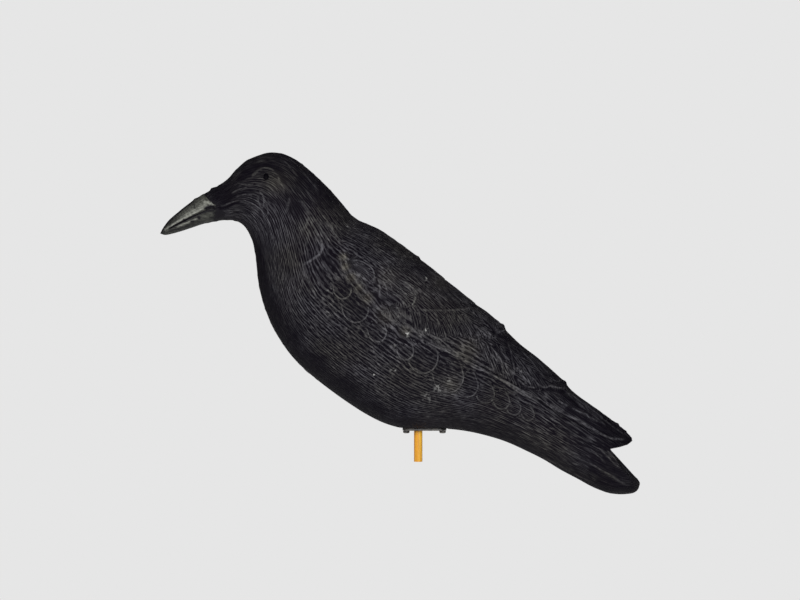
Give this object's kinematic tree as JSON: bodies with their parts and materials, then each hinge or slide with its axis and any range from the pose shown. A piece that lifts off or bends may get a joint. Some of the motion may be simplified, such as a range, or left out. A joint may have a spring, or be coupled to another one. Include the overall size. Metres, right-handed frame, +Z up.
{
  "type": "crow decoy",
  "caption": "Life-size matt black crow decoy with folded wings and carved feathers, leaning on a short wooden peg through a screwed belly plate.",
  "frame": {"origin": "middle of the peg's lower end face", "axes": "+Z up along the peg, the beak towards -X, the bird's left side towards -Y"},
  "size_m": [0.3836, 0.1088, 0.2732],
  "materials": {
    "body_plastic": "matt moulded, with fine feather strokes",
    "plate_steel": "satin black",
    "screw_steel": "black oxide",
    "peg_wood": "varnished, golden"
  },
  "bodies": {
    "root": {"crow_body": "body_plastic", "belly_plate": "plate_steel", "plate_screw_front": "screw_steel", "plate_screw_rear": "screw_steel", "peg": "peg_wood"}
  },
  "joints": []
}
